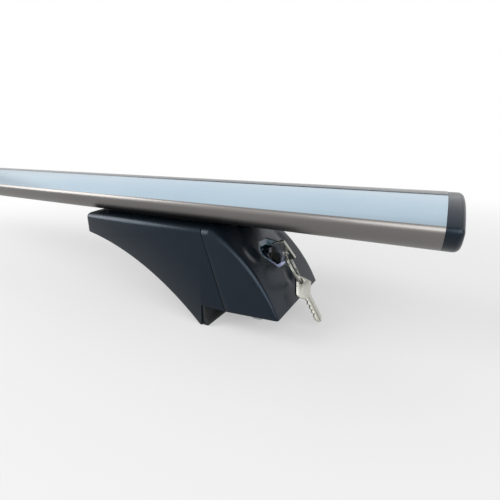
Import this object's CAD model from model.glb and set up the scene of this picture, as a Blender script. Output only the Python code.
from math import asin, atan2, cos, pi, radians, sin, sqrt, tan

import bpy
from mathutils import Matrix, Vector


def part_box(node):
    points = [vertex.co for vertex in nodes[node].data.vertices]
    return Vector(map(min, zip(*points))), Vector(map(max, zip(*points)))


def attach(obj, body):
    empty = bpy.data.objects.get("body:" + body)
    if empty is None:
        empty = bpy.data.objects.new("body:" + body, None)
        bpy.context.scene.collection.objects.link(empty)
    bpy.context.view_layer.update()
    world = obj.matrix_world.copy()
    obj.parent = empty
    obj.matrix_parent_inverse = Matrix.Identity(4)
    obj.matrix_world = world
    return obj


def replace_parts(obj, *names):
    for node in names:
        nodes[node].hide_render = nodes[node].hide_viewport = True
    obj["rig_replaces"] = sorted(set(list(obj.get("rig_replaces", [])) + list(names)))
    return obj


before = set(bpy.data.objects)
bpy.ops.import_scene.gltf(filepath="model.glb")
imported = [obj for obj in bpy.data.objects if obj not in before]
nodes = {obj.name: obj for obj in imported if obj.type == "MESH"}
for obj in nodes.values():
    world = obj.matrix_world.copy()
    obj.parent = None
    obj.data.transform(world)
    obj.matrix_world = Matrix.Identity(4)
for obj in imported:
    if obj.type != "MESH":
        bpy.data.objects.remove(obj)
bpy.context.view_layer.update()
bpy.ops.object.select_all(action="DESELECT")
print("frame loaded")

# A foot is worked in millimetres: X outwards from its cover's lowest edge, Z up from the rail
mm = 0.001
mergeGap = 0.005 * mm
footEdge = Vector((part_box("cover_a")[1].x, 0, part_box("rail_pad_a")[0].z))
barLow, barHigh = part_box("crossbar")


def footPoint(x, y, z):
    return footEdge + Vector((x, y, z)) * mm


# Camera: its place from the foot's lowest edge in millimetres, its angles in degrees
view = {"place": (73.65, -212.68, 110.2), "turn": 28.61, "down": 17.06, "lens": 23.47, "shiftY": -0.004}
bpy.ops.object.camera_add(
    location=footPoint(*view["place"]), rotation=(radians(90 - view["down"]), 0, radians(view["turn"]))
)
cam = bpy.context.object
cam.name = "camera"
cam.data.lens = view["lens"]
cam.data.shift_y = view["shiftY"]
cam.data.clip_start = 0.01
cam.data.clip_end = 50
bpy.context.scene.camera = cam
bpy.context.scene.view_settings.view_transform = "Standard"


# Materials
def linear(hexColour):
    channels = [int(hexColour[i:i + 2], 16) / 255 for i in (1, 3, 5)]
    return [c / 12.92 if c < 0.04045 else ((c + 0.055) / 1.055) ** 2.4 for c in channels] + [1]


def addNode(tree, kind, inputs={}, **settings):
    node = tree.nodes.new(kind)
    for name, value in settings.items():
        setattr(node, name, value)
    for name, value in inputs.items():
        if isinstance(value, bpy.types.NodeSocket):
            tree.links.new(value, node.inputs[name])
        else:
            node.inputs[name].default_value = value
    return node


def startMaterial(name, **shaderInputs):
    material = bpy.data.materials.new(name)
    material.use_nodes = True
    tree = material.node_tree
    shader = tree.nodes["Principled BSDF"]
    for socket, value in shaderInputs.items():
        shader.inputs[socket.replace("_", " ")].default_value = value
    coords = addNode(tree, "ShaderNodeTexCoord").outputs["Object"]
    return material, tree, shader, coords


def perMillimetre(size):
    return 1 / (size * mm)


# Two shades mixed by a factor, most often a noise of a real size, so that no face is one flat colour
def shadeMix(tree, shader, factor, dark, light):
    mix = addNode(tree, "ShaderNodeMix", {0: factor, 6: linear(dark), 7: linear(light)}, data_type="RGBA")
    tree.links.new(mix.outputs[2], shader.inputs["Base Color"])


def noise(tree, coords, size, detail=3.0, scale=(1, 1, 1)):
    stretched = addNode(tree, "ShaderNodeMapping", {"Vector": coords, "Scale": scale})
    made = addNode(tree, "ShaderNodeTexNoise",
                   {"Vector": stretched.outputs["Vector"], "Scale": perMillimetre(size), "Detail": detail})
    return made.outputs["Fac"]


def roughnessRange(tree, shader, factor, low, high):
    spread = addNode(tree, "ShaderNodeMapRange", {"Value": factor, "From Min": 0.3, "From Max": 0.7,
                                                 "To Min": low, "To Max": high})
    tree.links.new(spread.outputs["Result"], shader.inputs["Roughness"])


def bump(tree, shader, height, depth, strength):
    settings = {"Height": height, "Distance": depth * mm, "Strength": strength}
    bumped = addNode(tree, "ShaderNodeBump", settings)
    tree.links.new(bumped.outputs["Normal"], shader.inputs["Normal"])


# Satin anodised aluminium extrusion: a soft metal sheen with fine die lines along its length
anodised, tree, shader, coords = startMaterial("satin_anodised_aluminium_extrusion", Metallic=1.0)
dieLines = noise(tree, coords, 0.9, 4.0, (0.006, 1, 1))
shadeMix(tree, shader, noise(tree, coords, 60), "#8d9daa", "#95a5af")
roughnessRange(tree, shader, dieLines, 0.26, 0.34)
bump(tree, shader, dieLines, 0.005, 0.4)

# The same extrusion below its nose, turned away from the sky: drawn in a darker, warmer satin of its own
underside, tree, shader, coords = startMaterial("satin_anodised_underside", Metallic=1.0)
underLines = noise(tree, coords, 0.9, 4.0, (0.006, 1, 1))
shadeMix(tree, shader, noise(tree, coords, 60), "#6f6d6b", "#7a7775")
roughnessRange(tree, shader, underLines, 0.34, 0.42)
bump(tree, shader, underLines, 0.005, 0.4)

# Glass-filled nylon, moulded in a spark-eroded tool: near black, satin, with a fine even grain
nylon, tree, shader, coords = startMaterial(
    "moulded_glass_filled_nylon", IOR=1.38, Specular_Tint=linear("#c2d6ec"))
grain = noise(tree, coords, 0.45, 2.0)
shadeMix(tree, shader, noise(tree, coords, 14), "#080d13", "#0d141b")
roughnessRange(tree, shader, noise(tree, coords, 9), 0.26, 0.33)
bump(tree, shader, grain, 0.02, 0.3)

# The same nylon where the mould is polished, inside the lock's pocket: glossy, with a blue-green cast
polished, tree, shader, coords = startMaterial(
    "polished_glass_filled_nylon", IOR=1.55, Specular_Tint=linear("#b9d2e0"),
    Coat_Weight=0.6, Coat_Roughness=0.06)
shadeMix(tree, shader, noise(tree, coords, 6), "#13242c", "#1b313b")
roughnessRange(tree, shader, noise(tree, coords, 4), 0.14, 0.22)
bump(tree, shader, noise(tree, coords, 3), 0.02, 0.2)

# The polished dish round the lock throws the sky back: lilac-grey below, blue-green towards its top
# Both heights are millimetres above the part's base
dishShade = {"lilacBelow": 45, "greenAbove": 54}
paleDish, tree, shader, coords = startMaterial(
    "polished_nylon_dish", IOR=1.5, Coat_Weight=0.5, Coat_Roughness=0.05)
height = addNode(tree, "ShaderNodeSeparateXYZ", {0: coords}).outputs["Z"]
skyShare = addNode(tree, "ShaderNodeMapRange", {
    "Value": height, "From Min": dishShade["lilacBelow"] * mm, "From Max": dishShade["greenAbove"] * mm})
shadeMix(tree, shader, skyShare.outputs["Result"], "#929bc4", "#2b5669")
roughnessRange(tree, shader, noise(tree, coords, 4), 0.12, 0.2)
bump(tree, shader, noise(tree, coords, 3), 0.02, 0.2)

# EPDM rubber, moulded: matt black that turns grey where it is touched
rubber, tree, shader, coords = startMaterial("moulded_epdm_rubber", IOR=1.4)
shadeMix(tree, shader, noise(tree, coords, 5), "#0e1012", "#15181a")
roughnessRange(tree, shader, noise(tree, coords, 2), 0.62, 0.78)
bump(tree, shader, noise(tree, coords, 0.5), 0.04, 0.4)

# Extruded thermoplastic elastomer, for the crest's strip: dark, with the satin skin of its die
softPlastic, tree, shader, coords = startMaterial("extruded_tpe_strip", IOR=1.5)
shadeMix(tree, shader, noise(tree, coords, 30), "#1a2028", "#222a33")
roughnessRange(tree, shader, noise(tree, coords, 8), 0.2, 0.28)
bump(tree, shader, noise(tree, coords, 0.9, 3.0, (0.01, 1, 1)), 0.01, 0.3)

# Bright zinc-plated steel: a slightly milky metal with small spangles
zincSteel, tree, shader, coords = startMaterial("bright_zinc_plated_steel", Metallic=1.0)
shadeMix(tree, shader, noise(tree, coords, 3), "#9da2a6", "#bfc3c5")
roughnessRange(tree, shader, noise(tree, coords, 1.5), 0.26, 0.4)
bump(tree, shader, noise(tree, coords, 0.4), 0.008, 0.4)

# Zinc die casting under dark nickel: the lock's smooth dark metal
lockZinc, tree, shader, coords = startMaterial("dark_nickel_plated_zinc_casting", Metallic=1.0)
shadeMix(tree, shader, noise(tree, coords, 4), "#3d4046", "#52565c")
roughnessRange(tree, shader, noise(tree, coords, 2), 0.22, 0.34)
bump(tree, shader, noise(tree, coords, 0.5), 0.006, 0.4)

# Nickel-plated steel, stamped and barrel-tumbled: warm bright metal with fine scratches both ways
nickel, tree, shader, coords = startMaterial("tumbled_nickel_plated_steel", Metallic=1.0)
scratches = noise(tree, coords, 0.25, 5.0, (1, 0.2, 0.12))
shadeMix(tree, shader, noise(tree, coords, 2.5), "#a9a9a1", "#bfbfb7")
roughnessRange(tree, shader, scratches, 0.24, 0.38)
bump(tree, shader, scratches, 0.006, 0.5)
print("materials made")


# Helpers for pieces
def selectOnly(piece):
    bpy.ops.object.select_all(action="DESELECT")
    piece.select_set(True)
    bpy.context.view_layer.objects.active = piece


def editAll(*steps):
    bpy.ops.object.mode_set(mode="EDIT")
    bpy.ops.mesh.select_all(action="SELECT")
    for step in steps:
        step()
    bpy.ops.object.mode_set(mode="OBJECT")


def modify(piece, kind, **settings):
    selectOnly(piece)
    modifier = piece.modifiers.new(kind.lower(), kind)
    for name, value in settings.items():
        setattr(modifier, name, value)
    bpy.ops.object.modifier_apply(modifier=modifier.name)


def finishPiece(piece, name, body, material, smooth=32):
    selectOnly(piece)
    bpy.ops.object.transform_apply(location=True, rotation=True, scale=True)
    bpy.ops.object.shade_smooth_by_angle(angle=radians(smooth))
    piece.name = piece.data.name = name
    piece.data.materials.clear()
    piece.data.materials.append(material)
    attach(piece, body)


# A CAD node's own form with its doubles merged, its flats cleaned and its sharp edges rounded
def roundedCopy(node, name, body, material, edge):
    piece = bpy.data.objects.new(name, nodes[node].data.copy())
    bpy.context.collection.objects.link(piece)
    selectOnly(piece)
    editAll(
        bpy.ops.mesh.customdata_custom_splitnormals_clear,
        lambda: bpy.ops.mesh.remove_doubles(threshold=mergeGap),
        lambda: bpy.ops.mesh.dissolve_limited(angle_limit=radians(0.5)),
    )
    modify(piece, "BEVEL", limit_method="ANGLE", angle_limit=radians(40), width=edge * mm,
           segments=2, use_clamp_overlap=True, harden_normals=False)
    finishPiece(piece, name, body, material)
    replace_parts(piece, node)
    return piece


# The other foot's piece: its own mesh, mirrored, with its faces turned right side out again
def mirrorPiece(piece, name, body, replaced):
    twin = piece.copy()
    twin.data = piece.data.copy()
    bpy.context.collection.objects.link(twin)
    twin.parent = None
    twin.matrix_world = Matrix.Identity(4)
    twin.data.transform(Matrix.Diagonal((-1, 1, 1, 1)))
    twin.data.flip_normals()
    twin.name = twin.data.name = name
    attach(twin, body)
    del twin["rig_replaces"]
    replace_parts(twin, replaced)


# Bar: half its section is traced with lines and arcs, mirrored, filled and drawn out along X
# Its darker shade ends shadeBelow nose radii above the nose's centre
# It starts beyond shadeBeyond of the flat's half width
bar = {
    "noseRadius": 3.5, "noseHeight": 12.8, "bellyRadius": 18, "slotHalf": 10, "slotHeight": 6.6, "wall": 2,
    "topMouthHalf": 5.5, "lowMouthHalf": 5, "recessHalf": 8, "recessDepth": 1.3, "edge": 0.3,
    "bellySteps": 24, "noseSteps": 36, "crestSteps": 20, "shadeBelow": 0.8, "shadeBeyond": 0.5,
}
barHalfWidth = barHigh.y / mm
barHeight = (barHigh.z - barLow.z) / mm
noseY = barHalfWidth - bar["noseRadius"]
crestRadius = (noseY ** 2 + (barHeight - bar["noseHeight"]) ** 2 - bar["noseRadius"] ** 2) / (
    2 * (barHeight - bar["noseHeight"] - bar["noseRadius"]))
flatY = noseY - sqrt(
    (bar["bellyRadius"] - bar["noseRadius"]) ** 2 - (bar["bellyRadius"] - bar["noseHeight"]) ** 2)
crestAngle = atan2(noseY, bar["noseHeight"] - barHeight + crestRadius)
bellyAngle = atan2(noseY - flatY, bar["bellyRadius"] - bar["noseHeight"])


def sectionPoint(y, z):
    return Vector((0, y * mm, barLow.z + z * mm))


def startTrace(y, z):
    bpy.ops.mesh.primitive_plane_add(size=mm, location=(0, 0, 0))
    bpy.ops.object.mode_set(mode="EDIT")
    bpy.ops.mesh.select_all(action="SELECT")
    bpy.ops.mesh.merge(type="CENTER")
    bpy.ops.transform.translate(value=sectionPoint(y, z))
    return Vector((y, z))


def traceTo(pen, y, z):
    step = sectionPoint(y, z) - sectionPoint(*pen)
    bpy.ops.mesh.extrude_region_move(TRANSFORM_OT_translate={"value": step})
    return Vector((y, z))


def traceArc(pen, y, z, angle, steps):
    bpy.ops.mesh.spin(steps=steps, angle=-angle, center=sectionPoint(y, z), axis=(1, 0, 0))
    arm = Matrix.Rotation(angle, 2) @ (pen - Vector((y, z)))
    return Vector((y, z)) + arm


# Belly, nose and crest, from the flat underside up to the crest at half width crestY
def traceOutside(pen, crestY):
    pen = traceTo(pen, flatY, 0)
    pen = traceArc(pen, flatY, bar["bellyRadius"], bellyAngle, bar["bellySteps"])
    pen = traceArc(pen, noseY, bar["noseHeight"], pi - crestAngle - bellyAngle, bar["noseSteps"])
    crestTurn = crestAngle - asin(crestY / crestRadius)
    return traceArc(pen, 0, barHeight - crestRadius, crestTurn, bar["crestSteps"])


def drawOut(fromX, length):
    bpy.ops.object.mode_set(mode="OBJECT")
    piece = bpy.context.object
    selectOnly(piece)
    bpy.ops.object.transform_apply(location=True, rotation=True, scale=True)
    modify(piece, "MIRROR", use_axis=(False, True, False), use_mirror_merge=True,
           merge_threshold=2 * mergeGap)
    editAll(
        lambda: bpy.ops.mesh.remove_doubles(threshold=mergeGap),
        bpy.ops.mesh.edge_face_add,
        lambda: bpy.ops.transform.translate(value=(fromX, 0, 0)),
        lambda: bpy.ops.mesh.extrude_region_move(TRANSFORM_OT_translate={"value": (length, 0, 0)}),
        lambda: bpy.ops.mesh.select_all(action="SELECT"),
        lambda: bpy.ops.mesh.normals_make_consistent(inside=False),
    )
    return piece


# Half of the foot slot, the outside, the strip's recess and half of the crest slot, in one line
lowTop = bar["wall"] + bar["slotHeight"]
topRoof = barHeight - bar["recessDepth"] - bar["wall"]
pen = startTrace(0, lowTop)
for y, z in ((bar["slotHalf"], lowTop), (bar["slotHalf"], bar["wall"]), (bar["lowMouthHalf"], bar["wall"]),
             (bar["lowMouthHalf"], 0)):
    pen = traceTo(pen, y, z)
pen = traceOutside(pen, bar["recessHalf"])
for y, z in ((bar["recessHalf"], barHeight - bar["recessDepth"]),
             (bar["topMouthHalf"], barHeight - bar["recessDepth"]), (bar["topMouthHalf"], topRoof),
             (bar["slotHalf"], topRoof), (bar["slotHalf"], topRoof - bar["slotHeight"]),
             (0, topRoof - bar["slotHeight"])):
    pen = traceTo(pen, y, z)
barPiece = drawOut(barLow.x, barHigh.x - barLow.x)
modify(barPiece, "BEVEL", limit_method="ANGLE", angle_limit=radians(40), width=bar["edge"] * mm, segments=2)
finishPiece(barPiece, "bar_extrusion", "bar", anodised, 25)
barPiece.data.materials.append(underside)
shadeTop = barLow.z + (bar["noseHeight"] + bar["noseRadius"] * bar["shadeBelow"]) * mm
for face in barPiece.data.polygons:
    if face.center.z < shadeTop and abs(face.center.y) > flatY * bar["shadeBeyond"] * mm:
        face.material_index = 1
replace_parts(barPiece, "crossbar")

# Crest strip: it stands this share of its height above the bar, as no step shows in the photograph
strip = {"proud": 0.25}
stripPiece = roundedCopy("top_strip", "crest_strip", "bar", softPlastic, 0.3)
for vertex in stripPiece.data.vertices:
    vertex.co.z = min(vertex.co.z, barHigh.z + (vertex.co.z - barHigh.z) * strip["proud"])
print("bar made")

# End caps: the same outside without its slots, drawn out and rounded over
# The crest's arc stops a hair short of the middle, where the mirror closes it
cap = {"thickness": 8, "round": 3.2, "steps": 6, "crestHalf": 0.001}
pen = startTrace(0, 0)
pen = traceOutside(pen, cap["crestHalf"])
capPiece = drawOut(barHigh.x, cap["thickness"] * mm)
bpy.ops.object.mode_set(mode="EDIT")
bpy.ops.mesh.select_mode(type="FACE")
bpy.ops.mesh.select_all(action="DESELECT")
bpy.ops.object.mode_set(mode="OBJECT")
for face in capPiece.data.polygons:
    face.select = face.normal.x > 0.9
bpy.ops.object.mode_set(mode="EDIT")
bpy.ops.mesh.bevel(offset=cap["round"] * mm, segments=cap["steps"], affect="EDGES")
bpy.ops.object.mode_set(mode="OBJECT")
finishPiece(capPiece, "end_cap_shell_a", "bar", nylon, 40)
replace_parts(capPiece, "end_cap_a")
mirrorPiece(capPiece, "end_cap_shell_b", "bar", "end_cap_b")
print("end caps made")

# Cover: a grid laid from the lock hole over the pocket, its rolled rim, the slope and the edges to the seam
# Up to each share in zoneEnds of the pocket's outline, columns run to the bottom, the side or the corner
cover = {
    "height": 58, "halfWidth": 40, "edge": 4.8, "cornerEdge": 1.4, "cornerEdgeBelow": 4,
    "slopeRadius": 112, "slopeRun": 52.8, "slopeFoot": 3, "wall": 2.6, "wallEdge": 0.3,
    "seamTop": 59.8, "seamFoot": 40.2, "lockTilt": 22, "lockHeight": 36,
    "pocketFloor": -18, "hole": 6.55, "pocketRound": 4, "roundSteps": 8,
    "rim": 0.9, "rimShare": 0.85, "dish": 0.34, "dishDepth": 1.1,
    "pocket": ((0, -10), (7, -10), (17.3, 3.8), (14, 9), (6, 14), (0, 14)),
    "zoneEnds": {"bottom": 0.14, "side": 0.66, "fan": 0.72},
    "bottomColumns": 10, "sideColumns": 22, "fanColumns": 5, "topColumns": 10,
    "floorRows": 2, "wallRows": 4, "dishRows": 4, "rimRows": 6, "slopeRows": 16, "edgeRows": 8,
    "sideRows": 8,
}
tilt = radians(cover["lockTilt"])
lockOut = Vector((cos(tilt), 0, sin(tilt)))
lockUp = Vector((-sin(tilt), 0, cos(tilt)))
slopeEdge = Vector((0, 0, cover["slopeFoot"]))
lockBase = slopeEdge + lockUp * cover["lockHeight"]
chord = slopeEdge - Vector((-cover["slopeRun"], 0, cover["height"]))
rise = sqrt(cover["slopeRadius"] ** 2 - chord.length_squared / 4)
slopeCentre = Vector((-cover["slopeRun"], 0, cover["height"])) + chord / 2 + Vector(
    (chord.z, 0, -chord.x)).normalized() * rise
slopeTop = asin((cover["height"] - cover["edge"] - slopeCentre.z) / (cover["slopeRadius"] - cover["edge"]))
slopeLow = atan2(cover["slopeFoot"] - slopeCentre.z, -slopeCentre.x)
ballEnd = slopeLow - radians(cover["cornerEdgeBelow"])

# Soft hollows in the slope: place above and beside the lock's axis, half sizes and depth
dents = (
    {"up": -18, "side": 0, "halfUp": 8, "halfSide": 8, "depth": 1.6},
    {"up": 9, "side": 25, "halfUp": 9, "halfSide": 8, "depth": 1.2},
    {"up": 9, "side": -25, "halfUp": 9, "halfSide": 8, "depth": 1.2},
)


def slopeNormal(angle):
    return Vector((cos(angle), 0, sin(angle)))


def slopePoint(angle, y):
    point = slopeCentre + cover["slopeRadius"] * slopeNormal(angle) + Vector((0, y, 0))
    up = (point - lockBase).dot(lockUp)
    sunk = sum(d["depth"] * cos(min(1, sqrt(((up - d["up"]) / d["halfUp"]) ** 2 + (
        (y - d["side"]) / d["halfSide"]) ** 2)) * pi / 2) ** 2 for d in dents)
    return point - sunk * slopeNormal(angle)


def angleAt(point):
    return atan2(point.z - slopeCentre.z, point.x - slopeCentre.x)


# The radius of the rounded edges shrinks on the way down the slope
def ballAt(angle):
    return cover["edge"] + (cover["cornerEdge"] - cover["edge"]) * (slopeTop - angle) / (slopeTop - ballEnd)


# The cover's bottom edge rises from the seam to the outer edge
def bottomHeight(x):
    return cover["slopeFoot"] * (1 + x / cover["seamFoot"])


# Where the slope meets the bottom edge, for a point that has rolled this far over the side
# Each round starts from the angle before it, and five settle it
def lowestAngle(roll):
    angle = slopeLow
    for step in range(5):
        ball = ballAt(angle)
        reach = cover["slopeRadius"] - ball + ball * cos(roll)
        angle = asin((bottomHeight(slopeCentre.x + reach * cos(angle)) - slopeCentre.z) / reach)
    return angle


# Where a line along the lock meets the slope
def lockPoint(along, side, up):
    return lockBase + lockOut * along + lockUp * up + Vector((0, side, 0))


def reachSlope(side, up):
    start = lockPoint(0, 0, up) - slopeCentre
    middle = start.dot(lockOut)
    return -middle + sqrt(middle ** 2 - start.length_squared + cover["slopeRadius"] ** 2)


# Half of the pocket's outline, from its lowest to its highest point, with round corners
def pocketHalf():
    corners = [Vector(c) for c in cover["pocket"]]
    line = [corners[0]]
    for before, corner, after in zip(corners, corners[1:], corners[2:]):
        back, onward = (before - corner).normalized(), (after - corner).normalized()
        half = back.angle(onward) / 2
        reach = cover["pocketRound"]
        centre = corner + (back + onward).normalized() * reach / sin(half)
        trim = reach / tan(half)
        first, last = corner + back * trim, corner + onward * trim
        for step in range(cover["roundSteps"] + 1):
            arm = (first - centre).lerp(last - centre, step / cover["roundSteps"]).normalized() * reach
            line.append(centre + arm)
    return line + [corners[-1]]


# The point at this share of a line's length, and which way the line runs there
def alongLine(line, share):
    lengths = [(b - a).length for a, b in zip(line, line[1:])]
    left = share * sum(lengths)
    for (a, b), length in zip(zip(line, line[1:]), lengths):
        if left <= length:
            return a.lerp(b, left / length), (b - a).normalized()
        left -= length
    return line[-1], (line[-1] - line[-2]).normalized()


# What one column of the grid needs: where it starts, where the slope ends, and which way its edge rolls
def halfColumns():
    line = pocketHalf()
    ends = cover["zoneEnds"]
    columns = []
    for i in range(cover["bottomColumns"]):
        t = i / cover["bottomColumns"]
        columns.append((ends["bottom"] * t, "bottom", t))
    for i in range(cover["sideColumns"]):
        t = i / cover["sideColumns"]
        columns.append((ends["bottom"] + (ends["side"] - ends["bottom"]) * t, "side", t))
    for i in range(cover["fanColumns"]):
        t = i / cover["fanColumns"]
        columns.append((ends["side"] + (ends["fan"] - ends["side"]) * t, "fan", t))
    for i in range(cover["topColumns"] + 1):
        t = i / cover["topColumns"]
        columns.append((ends["fan"] + (1 - ends["fan"]) * t, "top", t))
    return [(*alongLine(line, share), zone, t) for share, zone, t in columns]


# One column from the lock hole to the seam: floor, wall, dish, rim, slope, rolled edge and side
def columnPoints(outline, heading, zone, t):
    outward = Vector((0, heading.y, 0)) - lockUp * heading.x
    reach = reachSlope(outline.x, outline.y)
    corner = lockPoint(reach, outline.x, outline.y)
    normal = slopeNormal(angleAt(corner))
    depth = reach - cover["pocketFloor"]
    rim = min(cover["rim"], depth * cover["rimShare"])
    tangent = (outward - normal * outward.dot(normal)).normalized()
    inner = outline * (1 - cover["dish"])
    dishEdge = lockPoint(min(reach, reachSlope(*inner)) - cover["dishDepth"], *inner)
    inward = (dishEdge - corner).normalized()
    wallTop, lipEnd = corner + inward * rim, corner + tangent * rim
    ring = lockPoint(cover["pocketFloor"], *(outline.normalized() * cover["hole"]))
    foot = lockPoint(cover["pocketFloor"], *inner)
    points = [ring.lerp(foot, j / cover["floorRows"]) for j in range(cover["floorRows"])]
    points += [foot.lerp(dishEdge, j / cover["wallRows"]) for j in range(cover["wallRows"])]
    points += [dishEdge.lerp(wallTop, j / cover["dishRows"]) for j in range(cover["dishRows"])]
    for j in range(cover["rimRows"]):
        u = j / cover["rimRows"]
        points.append(wallTop * (1 - u) ** 2 + corner * 2 * u * (1 - u) + lipEnd * u ** 2)
    share = {"bottom": t, "top": 1 - t}.get(zone, 1)

    def slopeEnd(roll):
        lowest = lowestAngle(0 if zone == "bottom" else roll)
        return {"bottom": lowest, "side": lowest + (slopeTop - lowest) * t}.get(zone, slopeTop)

    lipAngle, lipY, endAngle = angleAt(lipEnd), lipEnd.y, slopeEnd(0)
    endY = (cover["halfWidth"] - ballAt(endAngle)) * share
    for j in range(cover["slopeRows"]):
        u = j / cover["slopeRows"]
        points.append(slopePoint(lipAngle + (endAngle - lipAngle) * u, lipY + (endY - lipY) * u))
    side, up = Vector((0, 1, 0)), Vector((0, 0, 1))
    for j in range(cover["edgeRows"] + 1):
        u = j / cover["edgeRows"]
        angle = slopeEnd(u * pi / 2)
        start = slopeNormal(angle)
        fan = side * cos(t * pi / 2) + up * sin(t * pi / 2)
        end = {"bottom": start, "side": side, "top": up}.get(zone, fan)
        turn = start.angle(end, 0)
        toward = (end - start * cos(turn)).normalized() if turn > 0.001 else start
        ball = ballAt(angle)
        centre = slopeCentre + (cover["slopeRadius"] - ball) * start
        centre.y = (cover["halfWidth"] - ball) * share
        points.append(centre + ball * (start * cos(turn * u) + toward * sin(turn * u)))
    last = points[-1]
    lowest = lowestAngle(pi / 2)
    lowZ = slopeCentre.z + (cover["slopeRadius"] - ballAt(lowest)) * sin(lowest)
    seamZ = max(0, last.z - lowZ * (cover["height"] - last.z) / (cover["height"] - lowZ))
    seamX = -cover["seamFoot"] - (cover["seamTop"] - cover["seamFoot"]) * seamZ / cover["height"]
    end = last if zone == "bottom" else Vector((seamX, last.y, seamZ))
    for j in range(1, cover["sideRows"] + 1):
        points.append(last.lerp(end, j / cover["sideRows"]))
    return points


half = [columnPoints(*column) for column in halfColumns()]
other = [[Vector((p.x, -p.y, p.z)) for p in column] for column in half]
gridColumns = half + other[-2::-1]
rows = len(half[0])
bpy.ops.mesh.primitive_grid_add(x_subdivisions=len(gridColumns) - 1, y_subdivisions=rows - 1, size=0.1)
coverPiece = bpy.context.object
for vertex in coverPiece.data.vertices:
    vertex.co = footPoint(*gridColumns[vertex.index % len(gridColumns)][vertex.index // len(gridColumns)])
editAll(
    lambda: bpy.ops.mesh.remove_doubles(threshold=0.002 * mm),
    lambda: bpy.ops.mesh.dissolve_degenerate(threshold=0.001 * mm),
)

# The faces have to point away from a place inside the shell
inside = footPoint(-30, 0, 15)
if sum(face.area * face.normal.dot(face.center - inside) for face in coverPiece.data.polygons) < 0:
    coverPiece.data.flip_normals()
modify(coverPiece, "SOLIDIFY", thickness=cover["wall"] * mm, offset=-1, use_even_offset=False)
modify(coverPiece, "BEVEL", limit_method="ANGLE", angle_limit=radians(50), width=cover["wallEdge"] * mm,
       segments=2)
finishPiece(coverPiece, "cover_shell_a", "cover_a", nylon, 40)

# The pocket is polished below its rim, and its dish, which faces out along the lock, has the paler finish
polish = {
    "half": 18, "low": -11, "high": 15, "floorGap": 0.5, "below": 0.5, "dishTimes": 3, "dishFacing": 0.5,
}
polishFloor = cover["pocketFloor"] - polish["floorGap"]
dishFloor = cover["dishDepth"] * polish["dishTimes"]
coverPiece.data.materials.append(polished)
coverPiece.data.materials.append(paleDish)
for face in coverPiece.data.polygons:
    place = (face.center - footPoint(*lockBase)) / mm
    side, up, along = place.y, place.dot(lockUp), place.dot(lockOut)
    inPocket = abs(side) < polish["half"] and polish["low"] < up < polish["high"] and along > polishFloor
    sunk = reachSlope(side, up) - along
    if inPocket and sunk > polish["below"]:
        isDish = sunk < dishFloor and face.normal.dot(lockOut) > polish["dishFacing"]
        face.material_index = 2 if isDish else 1
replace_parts(coverPiece, "cover_a")
mirrorPiece(coverPiece, "cover_shell_b", "cover_b", "cover_b")
print("covers made")

# Foot bodies and hardware: the CAD's own forms with rounded edges
hardware = (
    ("foot_body", "foot", "satin_plastic", nylon, 0.4),
    ("saddle_pad", "foot", "rubber", rubber, 0.3),
    ("rail_pad", "foot", "rubber", rubber, 0.4),
    ("claw_pad", "foot", "rubber", rubber, 0.6),
    ("bar_bolts", "foot", "zinc_steel", zincSteel, 0.3),
    ("bar_washers", "foot", "zinc_steel", zincSteel, 0.15),
    ("channel_nut", "foot", "zinc_steel", zincSteel, 0.3),
    ("clamp_nut", "foot", "zinc_steel", zincSteel, 0.25),
    ("clamp_jaw", "jaw", "zinc_steel", zincSteel, 0.5),
    ("jaw_pad", "jaw", "rubber", rubber, 0.4),
    ("clamp_washer", "jaw", "zinc_steel", zincSteel, 0.15),
    ("clamp_bolt", "bolt", "zinc_steel", zincSteel, 0.25),
    ("lock_housing", "cover", "lock_zinc", lockZinc, 0.35),
    ("lock_plug", "plug", "lock_zinc", lockZinc, 0.2),
    ("lock_cam", "plug", "zinc_steel", zincSteel, 0.2),
    ("cam_nut", "plug", "zinc_steel", zincSteel, 0.2),
)
for side in "ab":
    for node, body, slot, material, edge in hardware:
        roundedCopy(f"{node}_{side}", f"{node}_form_{side}", f"{body}_{side}", material, edge)
print("hardware made")


# A turn about X, then Y, then Z, in degrees
def turned(x, y, z):
    aboutX, aboutY = Matrix.Rotation(radians(x), 3, "X"), Matrix.Rotation(radians(y), 3, "Y")
    return Matrix.Rotation(radians(z), 3, "Z") @ aboutY @ aboutX


# Split ring: two turns of flattened wire, hung from the key in the lock
ring = {
    "radius": 11.4, "wire": 1.5, "turnThickness": 0.74, "pitch": 0.78, "turn": (-34, 53, -17), "drop": 0.3,
    "keyHole": 1.4,
}
hang = turned(*ring["turn"])
lockKeyHole = lockPoint(ring["keyHole"], 0, 0)
ringTop = lockKeyHole - Vector((0, 0, ring["drop"]))
bpy.ops.mesh.primitive_circle_add(vertices=16, radius=ring["wire"] / 2 * mm, rotation=(pi / 2, 0, 0))
bpy.ops.object.transform_apply(location=False, rotation=True, scale=False)
ringPiece = bpy.context.object
editAll(
    lambda: bpy.ops.transform.resize(value=(1, 1, ring["turnThickness"] / ring["wire"])),
    lambda: bpy.ops.transform.translate(value=(ring["radius"] * mm, 0, -ring["pitch"] * mm)),
)
modify(ringPiece, "SCREW", axis="Z", angle=2 * pi, screw_offset=ring["pitch"] * mm, iterations=2, steps=96,
       render_steps=96, use_merge_vertices=True, merge_threshold=0.001 * mm)
editAll(
    lambda: bpy.ops.mesh.fill_holes(sides=0),
    lambda: bpy.ops.mesh.normals_make_consistent(inside=False),
)
ringPiece.data.transform(hang.to_4x4())
ringPiece.data.transform(Matrix.Translation(footPoint(*(ringTop + hang @ Vector((ring["radius"], 0, 0))))))
finishPiece(ringPiece, "split_ring", "ring", nickel, 50)
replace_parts(ringPiece, "key_ring")
print("ring made")

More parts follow.
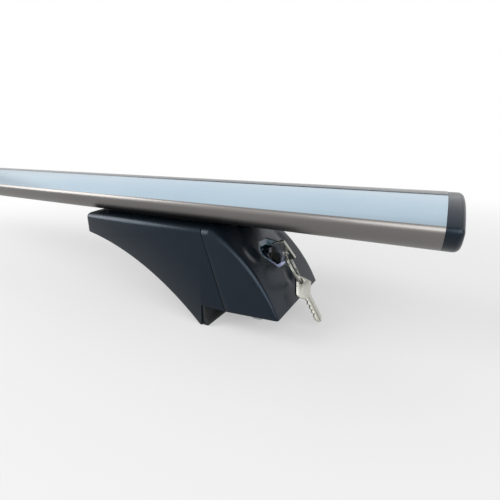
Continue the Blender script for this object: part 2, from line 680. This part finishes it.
# Keys: an outline with its hole at the origin and its blade along X is made a plate, then holed and grooved
key = {
    "thickness": 2, "half": 2.8, "neck": 11, "tip": 32.5, "tipLength": 3, "tipHalf": 0.8,
    "hole": 2.3, "holeDepths": 5,
    "notches": (15, 18.5, 22, 25.5), "notchHalf": 1.3, "notchDepth": (0.9, 1.2),
    "grooveHalf": 0.5, "grooveDepth": 0.5, "grooveStart": 2, "grooveOver": 4, "edge": 0.3, "corner": 1.0,
    "hang": (116, 60, 0), "roll": 26,
}

# The corners of each head, from the blade's notched side round to its plain side
heads = {
    "lock_key": ((9.9, 7.4), (0, 6.4), (-4.7, 7.1), (-3.7, -11), (6.3, -11), (8.7, -6.5)),
    "spare_key": ((13, 3), (9.8, 6.4), (6.4, 8.8), (-6.2, 0.6), (4.2, -8.4), (10.2, -3.4)),
}


# A corner drawn as a curve that touches both its sides at this reach
def roundedCorner(before, corner, after, reach):
    before, corner, after = Vector(before), Vector(corner), Vector(after)
    back, onward = (before - corner).normalized() * reach, (after - corner).normalized() * reach
    return [corner + back * (1 - u) ** 2 + onward * u ** 2 for u in (0, 0.25, 0.5, 0.75, 1)]


def headOutline(corners):
    points = [(key["neck"], key["half"]), *corners, (key["neck"], -key["half"])]
    line = []
    for before, corner, after in zip(points, points[1:], points[2:]):
        line += roundedCorner(before, corner, after, key["corner"])
    return line


def bladeOutline():
    half, shoulder = key["half"], key["tip"] - key["tipLength"]
    line = [(key["neck"], -half), (shoulder, -half), (key["tip"], -key["tipHalf"]),
            (key["tip"], key["tipHalf"]), (shoulder, half)]
    for i, x in reversed(list(enumerate(key["notches"]))):
        depth = half - key["notchDepth"][i % 2]
        line += [(x + key["notchHalf"], half), (x, depth), (x - key["notchHalf"], half)]
    return line + [(key["neck"], half)]


def keyPiece(node, body, place):
    outline = headOutline(heads[node]) + bladeOutline()
    bpy.ops.mesh.primitive_circle_add(vertices=len(outline), radius=0.1, fill_type="NGON")
    piece = bpy.context.object
    for vertex, (x, y) in zip(piece.data.vertices, outline):
        vertex.co = Vector((x, y, -key["thickness"] / 2)) * mm
    through = (0, 0, key["thickness"] * mm)
    editAll(
        lambda: bpy.ops.mesh.extrude_region_move(TRANSFORM_OT_translate={"value": through}),
        lambda: bpy.ops.mesh.select_all(action="SELECT"),
        lambda: bpy.ops.mesh.normals_make_consistent(inside=False),
    )
    bpy.ops.mesh.primitive_cylinder_add(
        vertices=40, radius=key["hole"] * mm, depth=key["thickness"] * key["holeDepths"] * mm)
    cutters = [bpy.context.object]
    grooveFrom, grooveTo = key["neck"] + key["grooveStart"], key["tip"] + key["grooveOver"]
    for face in (-1, 1):
        middle = Vector(((grooveFrom + grooveTo) / 2, 0, face * key["thickness"] / 2)) * mm
        bpy.ops.mesh.primitive_cube_add(size=mm, location=middle)
        size = (grooveTo - grooveFrom, key["grooveHalf"] * 2, key["grooveDepth"] * 2)
        bpy.ops.transform.resize(value=size)
        cutters.append(bpy.context.object)
    for cutter in cutters:
        modify(piece, "BOOLEAN", operation="DIFFERENCE", solver="EXACT", object=cutter)
        bpy.data.objects.remove(cutter)
    modify(piece, "BEVEL", limit_method="ANGLE", angle_limit=radians(40), width=key["edge"] * mm, segments=3)
    piece.data.transform(place @ Matrix.Rotation(pi / 2, 4, "X"))
    finishPiece(piece, f"{node}_plate", body, nickel, 40)
    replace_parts(piece, node)


# The lock key is turned to point inwards, rolled about its blade and tilted with the lock
roll = Matrix.Rotation(radians(key["roll"]), 3, "X")
lockTurn = Matrix.Rotation(-tilt, 3, "Y") @ roll @ Matrix.Rotation(pi, 3, "Y")
keyPiece("lock_key", "key", Matrix.Translation(footPoint(*lockKeyHole)) @ lockTurn.to_4x4())
spareTurn = turned(*key["hang"])
ringFoot = ringTop + hang @ Vector((2 * ring["radius"], 0, 0))
spareHole = ringFoot + spareTurn @ Vector((ring["drop"], 0, 0))
keyPiece("spare_key", "spare", Matrix.Translation(footPoint(*spareHole)) @ spareTurn.to_4x4())
print("keys made")


# Floor, world and lamps, in metres
# 1 where the floor or background is seen, itself or in a gloss, and 0 for the light it throws
def seenDirectly(tree):
    path = addNode(tree, "ShaderNodeLightPath").outputs
    rays = {0: path["Is Camera Ray"], 1: path["Is Glossy Ray"]}
    seen = addNode(tree, "ShaderNodeMath", rays, operation="MAXIMUM").outputs[0]
    rays = {0: seen, 1: path["Is Transmission Ray"]}
    return addNode(tree, "ShaderNodeMath", rays, operation="MAXIMUM").outputs[0]


# The floor is matt and keeps the shadow; what is seen of it fades to plain white away from the foot
studio = {"floorSize": 30, "clearNear": 0.15, "clearFar": 0.9, "whiteNear": 0.4, "worldLight": 0.3}
bpy.ops.mesh.primitive_plane_add(size=studio["floorSize"], location=(0, 0, 0))
floor = bpy.context.object
floor.name = "floor"
paintedFloor, tree, shader, coords = startMaterial("matt_white_painted_floor", Roughness=0.9)
shadeMix(tree, shader, noise(tree, coords, 900), "#c2c2c2", "#cacaca")
footPlace = footEdge * Vector((1, 1, 0))
fromFoot = addNode(tree, "ShaderNodeVectorMath", {0: coords, 1: footPlace}, operation="DISTANCE")
white = addNode(tree, "ShaderNodeMapRange", {
    "Value": fromFoot.outputs["Value"], "From Min": studio["clearNear"], "From Max": studio["clearFar"],
    "To Min": studio["whiteNear"], "To Max": 1.0}, interpolation_type="SMOOTHSTEP")
whiteSeen = {0: white.outputs["Result"], 1: seenDirectly(tree)}
share = addNode(tree, "ShaderNodeMath", whiteSeen, operation="MULTIPLY")
glow = addNode(tree, "ShaderNodeEmission", {"Color": (1, 1, 1, 1), "Strength": 1.0})
blend = addNode(tree, "ShaderNodeMixShader", {
    0: share.outputs[0], 1: shader.outputs["BSDF"], 2: glow.outputs["Emission"]})
tree.links.new(blend.outputs["Shader"], tree.nodes["Material Output"].inputs["Surface"])
floor.data.materials.append(paintedFloor)

world = bpy.data.worlds.new("studio")
bpy.context.scene.world = world
world.use_nodes = True
tree = world.node_tree
background = tree.nodes["Background"]
strength = addNode(tree, "ShaderNodeMapRange", {"Value": seenDirectly(tree), "To Min": studio["worldLight"],
                                               "To Max": 1.0})
background.inputs["Color"].default_value = (1, 1, 1, 1)
tree.links.new(strength.outputs["Result"], background.inputs["Strength"])

# A wide panel beyond the bar lights its crest; two softboxes before it draw the plastic's rounded edges
lamps = (
    {"name": "sky_panel", "place": (-0.2, 1.15, 1.95), "size": (4.4, 2.6), "watts": 25},
    {"name": "left_softbox", "place": (-0.95, -1.0, 0.95), "size": (1.1, 1.4), "watts": 33},
    {"name": "right_softbox", "place": (1.4, -0.85, 0.8), "size": (1.7, 1.2), "watts": 26},
)
target = footPoint(-60, 0, 40)
for lamp in lamps:
    bpy.ops.object.light_add(type="AREA", location=lamp["place"])
    light = bpy.context.object
    light.name = lamp["name"]
    light.data.energy = lamp["watts"]
    light.data.shape = "RECTANGLE"
    light.data.size, light.data.size_y = lamp["size"]
    light.rotation_euler = (target - light.location).to_track_quat("-Z", "Y").to_euler()
print("studio made")
